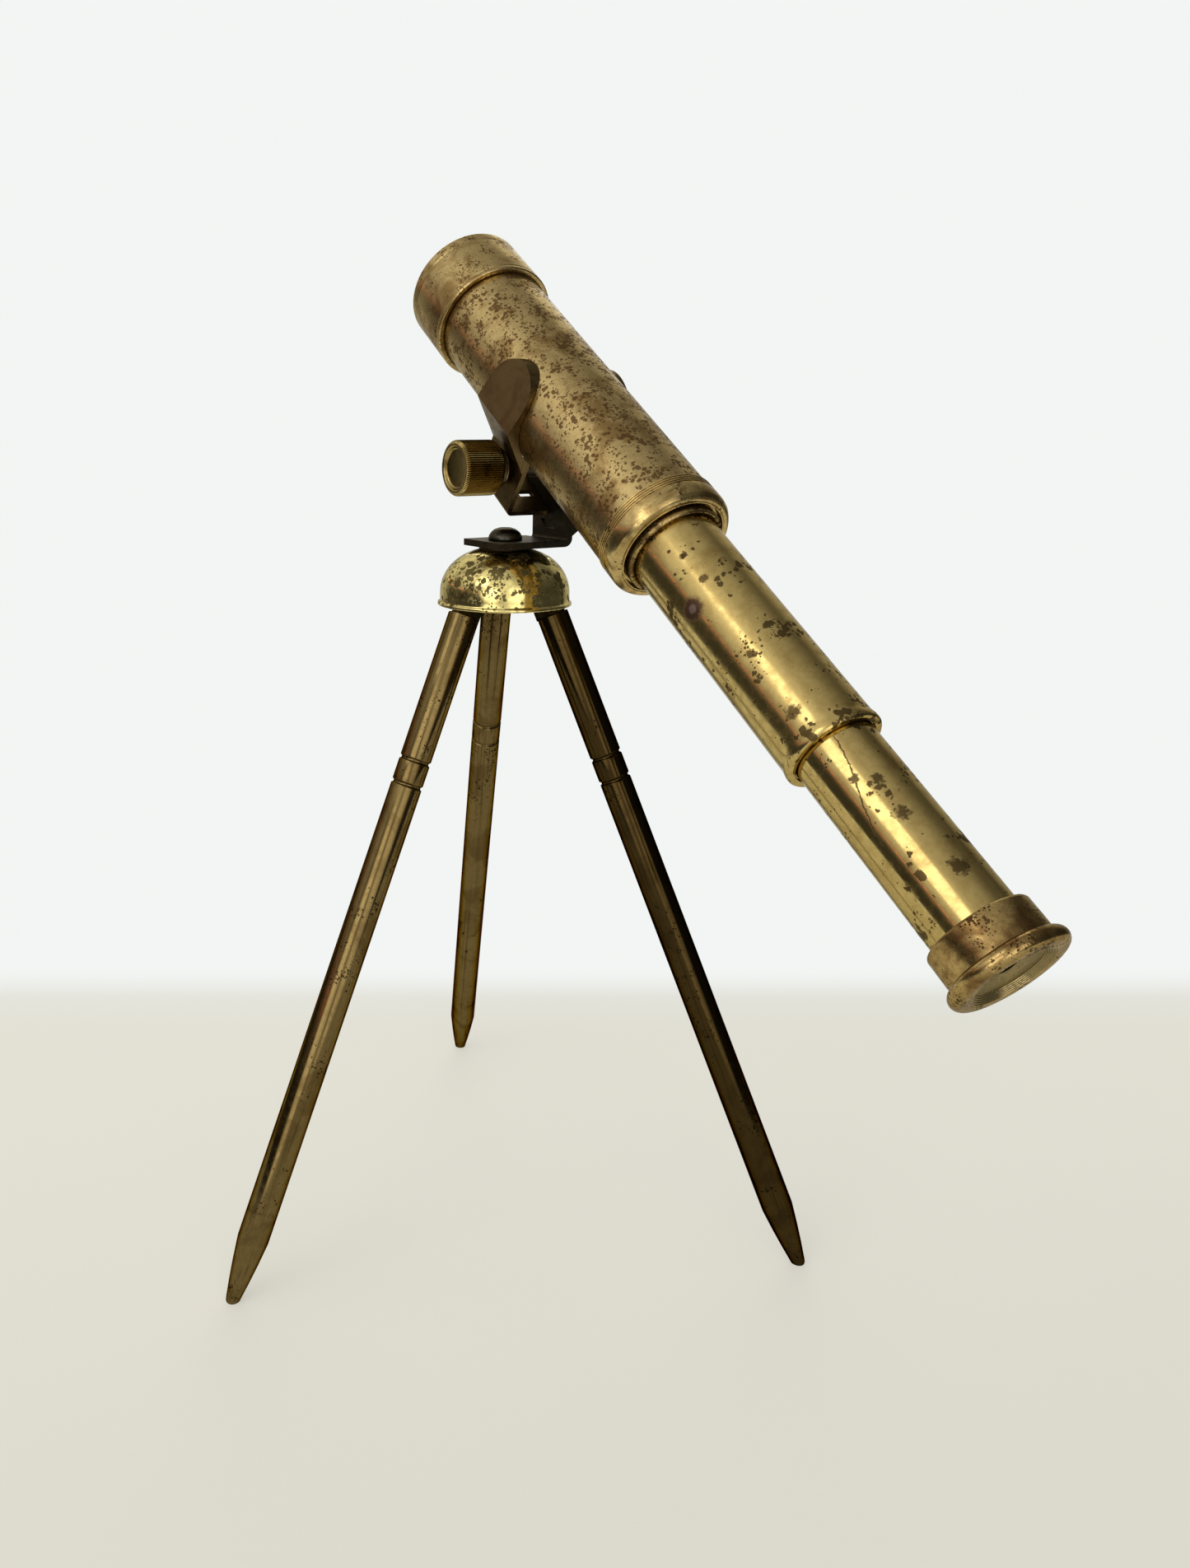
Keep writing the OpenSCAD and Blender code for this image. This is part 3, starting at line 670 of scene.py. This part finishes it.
def lathe(name, profile, axis, material, segments=160, closed=True,
          shape=None):
    """Revolves an (r, z) outline; shape(r, angle, z) may move its rings."""
    mesh = bpy.data.meshes.new(name)
    points, faces = [], []
    count = len(profile)
    for s in range(segments):
        angle = 2 * math.pi * s / segments
        for r, z in profile:
            rr = shape(r, angle, z) if shape else r
            points.append((rr * math.cos(angle), rr * math.sin(angle), z))
    last = count if closed else count - 1
    for s in range(segments):
        n = (s + 1) % segments
        for i in range(last):
            j = (i + 1) % count
            faces.append((s * count + i, n * count + i,
                          n * count + j, s * count + j))
    mesh.from_pydata(points, [], faces)
    work = bmesh.new()
    work.from_mesh(mesh)
    bmesh.ops.remove_doubles(work, verts=work.verts, dist=1e-7)
    bmesh.ops.recalc_face_normals(work, faces=work.faces)
    work.to_mesh(mesh)
    work.free()
    return new_object(name, mesh, material, axis)


def place(piece, body, slot, *nodes):
    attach(piece, body)
    if nodes:
        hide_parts(*nodes)
    return piece


# ------------------------------------------------------------- the pieces
PITCH = 0.8
LEG_SPREAD = math.radians(23.3)


def stations_axis():
    """The telescope's axis, with its zero where the stations are counted."""
    way = Vector(JOINTS["draw_a_slide"]["axis"]).normalized()
    low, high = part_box("objective_hood")
    middle = (Vector(low) + Vector(high)) / 2
    axis = Axis(middle, way)
    front = axis.span("objective_hood")[0]
    return Axis(middle + way * (front + 40 * MM), way)


def screw_axis():
    """The clamp's axis, with Z pointing out of the knob's dished face."""
    pivot = JOINTS["tilt"]["pos_m"]
    return Axis((pivot[0], 0, pivot[2]), (0, -1, 0), across=Vector((1, 0, 0)))


def turned(name, body, slot, axis, outline, *nodes, radius=0.12, coat=None,
           **more):
    """A turned piece from an (r, z) outline in millimetres."""
    profile = rounded([(r * MM, z * MM) for r, z in outline], radius * MM)
    piece = lathe(name, profile, axis, MATERIALS[coat or slot], **more)
    return place(piece, body, slot, *nodes)


def wavy(depth, seed, around=3, along=55.0):
    """Very shallow hollows of an old hand-worked tube, always inward."""
    def shape(r, angle, z):
        q = math.sin(around * angle + seed) * math.sin(along * z + 2.1 * seed)
        q += 0.6 * math.sin((around + 2) * angle - 1.7 * seed + 90 * z)
        return r - depth * MM * (0.8 + 0.5 * q)
    return shape


def dome_outline(r, height, base, top, steps=26):
    power = 2.25
    line = []
    for i in range(steps + 1):
        z = base + (top - base) * math.sin(math.pi / 2 * i / steps)
        line.append((r * (1 - ((z - base) / height) ** power) ** (1 / power), z))
    return line


def make_cap(axis):
    outer = dome_outline(16.5, 12.4, 169.5, 181.2)
    inner = dome_outline(15.7, 11.6, 169.5, 180.4)
    outline = ([(16.25, 167.2), (17.05, 167.2), (17.05, 167.9),
                (16.5, 168.3)] + outer + [(2.6, 181.2), (2.6, 180.4)]
               + inner[::-1] + [(15.7, 168.3), (16.25, 167.9)])
    turned("cap_dome", "stand_head", "cap_brass", axis, outline, "dome_cap",
           radius=0.2, segments=200)


def make_screw_head(axis):
    """Low round head with a cut slot that has burred, rounded lips."""
    low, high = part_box("pivot_screw")
    top = high[2] / MM
    base = top - 3.2
    outline = [(0, base - 1.6), (2.5, base - 1.6), (2.5, base), (4.25, base),
               (4.3, base + 0.5), (4.12, base + 1.2), (3.6, base + 2.0),
               (2.7, base + 2.7), (1.5, base + 3.08), (0, base + 3.19)]
    profile = rounded([(r * MM, z * MM) for r, z in outline], 0.3 * MM)
    head = lathe("swivel_screw_head", profile, axis, MATERIALS["screw_steel"])
    cutter = bpy.data.meshes.new("slot_cut")
    work = bmesh.new()
    bmesh.ops.create_cube(work, size=1)
    bmesh.ops.scale(work, vec=(12 * MM, 1.15 * MM, 2.4 * MM), verts=work.verts)
    bmesh.ops.rotate(work, cent=(0, 0, 0), verts=work.verts,
                     matrix=Matrix.Rotation(math.radians(64), 3, "Z"))
    bmesh.ops.translate(work, vec=(0, 0, (top + 0.05) * MM), verts=work.verts)
    work.to_mesh(cutter)
    work.free()
    knife = bpy.data.objects.new("slot_cut", cutter)
    SCENE.collection.objects.link(knife)
    carve = head.modifiers.new("slot", "BOOLEAN")
    carve.object, carve.operation, carve.solver = knife, "DIFFERENCE", "EXACT"
    settle(head)
    bpy.data.objects.remove(knife)
    soften(head, 0.14, angle=38)
    place(head, "stand_head", "screw_steel", "pivot_screw")


def settle(piece):
    """Turns the modified shape into the piece's own mesh."""
    bpy.context.view_layer.update()
    seen = piece.evaluated_get(bpy.context.evaluated_depsgraph_get())
    mesh = bpy.data.meshes.new_from_object(seen)
    piece.modifiers.clear()
    piece.data = mesh


def soften(piece, width, angle=35, edge=None, segments=3):
    """Bevels the sharp edges; edge is the corners' material: wear and a painted
    highlight.
    """
    bevel = piece.modifiers.new("corners", "BEVEL")
    bevel.width = width * MM
    bevel.segments = segments
    bevel.limit_method = "ANGLE"
    bevel.angle_limit = math.radians(angle)
    bevel.use_clamp_overlap = True
    bevel.miter_outer = "MITER_ARC"
    bevel.harden_normals = False
    if edge is not None:
        piece.data.materials.append(edge)
        bevel.material = len(piece.data.materials) - 1


def plate_copy(name, node, body, slot, width, edge):
    """Sheet metal: the CAD node's faces joined up, with eased corners."""
    cad = NODES[node]
    work = bmesh.new()
    work.from_mesh(cad.data)
    bmesh.ops.transform(work, matrix=cad.matrix_world, verts=work.verts)
    bmesh.ops.remove_doubles(work, verts=work.verts, dist=2e-6)
    bmesh.ops.dissolve_limit(work, angle_limit=math.radians(1.5),
                             verts=work.verts, edges=work.edges)
    mesh = bpy.data.meshes.new(name)
    work.to_mesh(mesh)
    work.free()
    piece = new_object(name, mesh, MATERIALS[slot], sharp=30)
    soften(piece, width, edge=MATERIALS[edge])
    return place(piece, body, slot, node)


# The leg that is given a much darker copy of the leg brass.
DARK_LEG = 2
LEG_R, GROOVE_R, GROOVE_HALF = 4.0, 3.55, 0.5
GROOVES = (135.4, 141.7)
SHOULDER = -7.4
TONGUE_HALF = 1.5 - 0.03


def leg_rod(name, axis, foot, coat, seed):
    """The turned rod, from its blunt point up to the shoulder."""
    rod = [(0, foot - 0.9), (0.9, foot - 0.86), (1.55, foot - 0.4),
           (1.8, foot + 0.5), (2.55, foot + 5.0), (3.3, foot + 10.2),
           (LEG_R, foot + 16.2)]
    for groove in GROOVES:
        level = foot + groove
        rod += [(LEG_R, level - GROOVE_HALF),
                (GROOVE_R, level - GROOVE_HALF / 2),
                (GROOVE_R, level + GROOVE_HALF / 2),
                (LEG_R, level + GROOVE_HALF)]
    rod += [(LEG_R, SHOULDER), (0, SHOULDER)]
    profile = rounded([(r * MM, z * MM) for r, z in rod], 0.35 * MM)
    return lathe(name, profile, axis, MATERIALS[coat], segments=96,
                 shape=wavy(0.012, seed, 2, 70.0))


def cut_level(work, axis):
    """Cuts the tip off level, a hair above the floor."""
    floor = axis.inverse @ Vector((0, 0, 0))
    normal = axis.inverse.to_3x3() @ Vector((0, 0, 1))
    cut = bmesh.ops.bisect_plane(
        work, geom=work.verts[:] + work.edges[:] + work.faces[:],
        plane_co=floor + normal * 0.02 * MM, plane_no=normal,
        clear_inner=True)
    rim = [e for e in cut["geom_cut"] if isinstance(e, bmesh.types.BMEdge)]
    bmesh.ops.edgeloop_fill(work, edges=rim)


def add_tongue(work):
    """The flat hinge tongue above the rod's shoulder."""
    outline = [(LEG_R * math.cos(math.radians(a)),
                LEG_R * math.sin(math.radians(a)))
               for a in range(-41, 181, 8)]
    outline += [(-LEG_R, SHOULDER - 0.3), (3, SHOULDER - 0.3)]
    sides = []
    for y in (-TONGUE_HALF, TONGUE_HALF):
        sides.append([work.verts.new((x * MM, y * MM, z * MM))
                      for x, z in outline])
    work.faces.new(sides[0])
    work.faces.new(sides[1][::-1])
    count = len(outline)
    for i in range(count):
        j = (i + 1) % count
        work.faces.new((sides[0][j], sides[0][i], sides[1][i], sides[1][j]))
    bmesh.ops.recalc_face_normals(work, faces=work.faces)


def make_leg(number):
    coat = "dark_leg_brass" if number == DARK_LEG else "leg_brass"
    pivot = Vector(JOINTS["leg_%d_fold" % number]["pos_m"])
    out = Vector((pivot.x, pivot.y, 0)).normalized()
    up = (Vector((0, 0, 1)) * math.cos(LEG_SPREAD)
          - out * math.sin(LEG_SPREAD))
    axis = Axis(pivot, up, across=out)
    foot = -pivot.z / MM / math.cos(LEG_SPREAD)
    piece = leg_rod("leg_rod_%d" % number, axis, foot, coat, number * 1.3)
    work = bmesh.new()
    work.from_mesh(piece.data)
    cut_level(work, axis)
    add_tongue(work)
    work.to_mesh(piece.data)
    work.free()
    shade(piece.data)
    place(piece, "leg_%d" % number, "leg_brass", "leg_%d" % number)


KNOB_BACK = 3.9
KNOB_R, KNURL_TEETH, KNURL_DEPTH = 6.78, 76, 0.46


def make_knob(axis):
    """Straight-knurled knob with a turned, dished face."""
    start, end = KNOB_BACK, axis.span("thumb_knob")[1] / MM

    def knurl(r, angle, z):
        phase = abs(((angle * KNURL_TEETH / (2 * math.pi)) % 1) - 0.5) * 2
        reach = min(1, max(0, (r / MM - 5.9) / 0.5))
        return r - reach * KNURL_DEPTH * MM * phase ** 1.3

    outline = [(2.5, start), (5.6, start), (6.2, start + 0.3),
               (KNOB_R, start + 1.0), (KNOB_R, end - 0.75),
               (6.45, end - 0.25), (6.0, end - 0.02), (5.55, end),
               (5.25, end - 0.15), (4.9, end - 0.75), (4.6, end - 0.95),
               (2.4, end - 1.06), (0.0, end - 1.1), (0.0, start + 5),
               (2.5, start + 5)]
    turned("knurled_knob", "thumb_screw", "knob_brass", axis, outline,
           "thumb_knob", radius=0.18, segments=KNURL_TEETH * 8, shape=knurl)


THREAD_R, THREAD_DEPTH = 2.49, 0.36
THREAD_STEPS = 8
COLLAR_R, COLLAR_START = 5.0, 2.6


def make_thread(axis):
    """The clamping screw, with a real helical thread and its collar."""
    first = axis.span("thumb_screw")[0] / MM
    rows = int((COLLAR_START - first) / PITCH * THREAD_STEPS)
    shaft = [(THREAD_R, z) for _, z in
             fine([(THREAD_R, first), (THREAD_R, COLLAR_START)], rows)]
    outline = ([(0, first)] + shaft
               + [(COLLAR_R, COLLAR_START), (COLLAR_R, KNOB_BACK),
                  (0, KNOB_BACK)])
    profile = [(r * MM, z * MM) for r, z in outline]

    def thread(r, angle, z):
        on_shaft = 0 < r <= 2.6 * MM
        if not on_shaft or z > (COLLAR_START - 0.3) * MM:
            return r
        phase = (z / MM / PITCH + angle / (2 * math.pi)) % 1
        return r - THREAD_DEPTH * MM * (abs(phase - 0.5) * 2)

    piece = lathe("clamp_screw", profile, axis, MATERIALS["thread_steel"],
                  segments=64, shape=thread)
    place(piece, "thumb_screw", "thread_steel", "thumb_screw")


def make_clamp_washer(axis):
    outline = [(2.55, 0.6), (2.95, 0.6), (3.6, 1.1), (4.2, 1.35),
               (4.9, 2.2), (4.9, 2.58), (2.55, 2.58)]
    turned("clamp_washer", "thumb_screw", "washer_brass", axis, outline,
           "knob_washer", radius=0.2)


def make_telescope(axis):
    hood = [(15.0, -39.7), (15.2, -40.0), (15.5, -40.0), (15.75, -39.6),
            (15.75, -37.2), (15.68, -37.1), (15.68, -36.85), (15.75, -36.75),
            (15.75, -24.35), (15.62, -24.25), (15.62, -24.0),
            (15.75, -23.9), (15.75, -23.1), (15.5, -22.8), (14.6, -22.8),
            (14.45, -23.3), (14.3, -23.3), (14.3, -31), (15.0, -31)]
    turned("hood", "telescope", "hood_brass", axis, hood, "objective_hood",
           radius=0.1, segments=224)
    turned("barrel_tube", "telescope", "barrel_brass", axis,
           fine([(14.3, -31), (14.3, 64)], 60)
           + [(13.5, 64), (13.5, -31)], "main_barrel",
           radius=0.02, segments=224, shape=wavy(0.009, 0.7, 2, 60.0))
    ridges = []
    for i in range(4):
        z = 60.3 + 0.6 * i
        ridges += [(14.67, z), (14.67, z + 0.33), (14.36, z + 0.36),
                   (14.36, z + 0.57)]
    ring = ([(14.3, 60.3)] + ridges
            + [(14.67, 62.75), (14.67, 65.2), (14.5, 66.2), (14.0, 67.0),
               (13.17, 67.4), (12.75, 67.4), (12.6, 67.25), (12.45, 67.4),
               (12.2, 67.4), (12.15, 65.6), (11.5, 65.6),
               (11.5, 64), (14.3, 64)])
    turned("end_ring", "telescope", "ring_brass", axis, ring,
           "barrel_end_ring", radius=0.1, segments=224)
    collar = [(10.26, 46), (13.5, 46), (13.5, 49), (11.5, 49),
              (11.5, 68.2), (11.35, 68.65), (11.0, 68.9), (10.6, 68.75),
              (10.26, 68.5)]
    turned("sliding_collar", "telescope", "collar_brass", axis, collar,
           "guide_collar", radius=0.12, segments=200)


def fine(line, count):
    """Extra points along a straight line, for a shape to move."""
    (r0, z0), (r1, z1) = line
    return [(r0 + (r1 - r0) * i / count, z0 + (z1 - z0) * i / count)
            for i in range(count + 1)]


def make_draws(axis):
    tube = (fine([(10.18, 40), (10.18, 125.3)], 50)
            + [(10.22, 125.7), (10.34, 126.3), (10.46, 126.9),
               (10.48, 127.4), (10.4, 127.85), (10.1, 128.2),
               (9.6, 128.3), (8.9, 128.2), (8.77, 127.8), (8.9, 127.7),
               (9.58, 127.7), (9.58, 40)])
    turned("draw_one", "draw_a", "draw_brass", axis, tube, "draw_tube_a",
           radius=0.05, segments=200, shape=wavy(0.008, 2.4, 2, 60.0))
    tube = (fine([(8.52, 88), (8.52, 173)], 50) + [(7.92, 173), (7.92, 88)])
    turned("draw_two", "draw_b", "draw_brass", axis, tube, "draw_tube_b",
           radius=0.05, segments=180, shape=wavy(0.008, 4.4, 2, 60.0),
           coat="draw_brass_two")


FLANGE_R, FLANGE_BACK, FLANGE_EDGE = 11.7, 176.8, 1.6
EYE_FRONT, RECESS_R, EYE_HOLE_R = 180, 8.3, 1.8
STEP_IN, STEP_DOWN = 0.34, 0.22


def make_eyepiece(axis):
    cup = [(8.52, 170), (9.6, 170), (9.95, 170.1), (10.15, 170.5),
           (10.15, FLANGE_BACK), (8.3, FLANGE_BACK), (8.3, 173), (8.52, 173)]
    turned("eye_cup", "draw_b", "eyepiece_brass", axis, cup,
           "eyepiece_cup", radius=0.1, segments=180)
    bulge = []
    for i in range(15):
        a = math.radians(-90 + 180 * i / 14)
        bulge.append((FLANGE_R - FLANGE_EDGE + FLANGE_EDGE * math.cos(a),
                      FLANGE_BACK + FLANGE_EDGE + FLANGE_EDGE * math.sin(a)))
    steps = []
    for i in range(5):
        r, z = RECESS_R - STEP_IN * i, EYE_FRONT - STEP_DOWN * i
        steps += [(r, z), (r - 0.05, z - 0.2), (r - 0.2, z - STEP_DOWN)]
    outline = ([(EYE_HOLE_R, FLANGE_BACK)] + bulge
               + [(8.9, EYE_FRONT), (8.75, EYE_FRONT - 0.1),
                  (8.55, EYE_FRONT)]
               + steps + [(6.6, 178.9), (2.3, 178.0), (EYE_HOLE_R, 177.95)])
    turned("eye_flange", "draw_b", "eyepiece_brass", axis, outline,
           "eyepiece_flange", radius=0.08, segments=180)


def make_pieces():
    stand = Axis((0, 0, 0), (0, 0, 1))
    scope = stations_axis()
    clamp = screw_axis()
    make_cap(stand)
    make_screw_head(stand)
    for number in (1, 2, 3):
        make_leg(number)
    plate_copy("bracket_sheet", "foot_bracket", "bracket", "bracket_steel",
               0.28, "worn_steel")
    plate_copy("front_jaw_sheet", "front_jaw", "front_jaw", "jaw_steel",
               0.30, "worn_jaw")
    plate_copy("back_jaw_sheet", "back_jaw", "telescope", "jaw_steel",
               0.30, "worn_jaw")
    make_knob(clamp)
    make_thread(clamp)
    make_clamp_washer(clamp)
    make_telescope(scope)
    make_draws(scope)
    make_eyepiece(scope)


make_camera()
MATERIALS = make_materials()
coat_nodes(MATERIALS)
make_pieces()
make_stage()
make_world()
make_light("key", (0.15, -0.95, 0.95), 0.55, 1.6)
make_light("rim", (-0.7, 0.5, 0.7), 0.6, 1.2)

SCENE.view_settings.view_transform = "Standard"
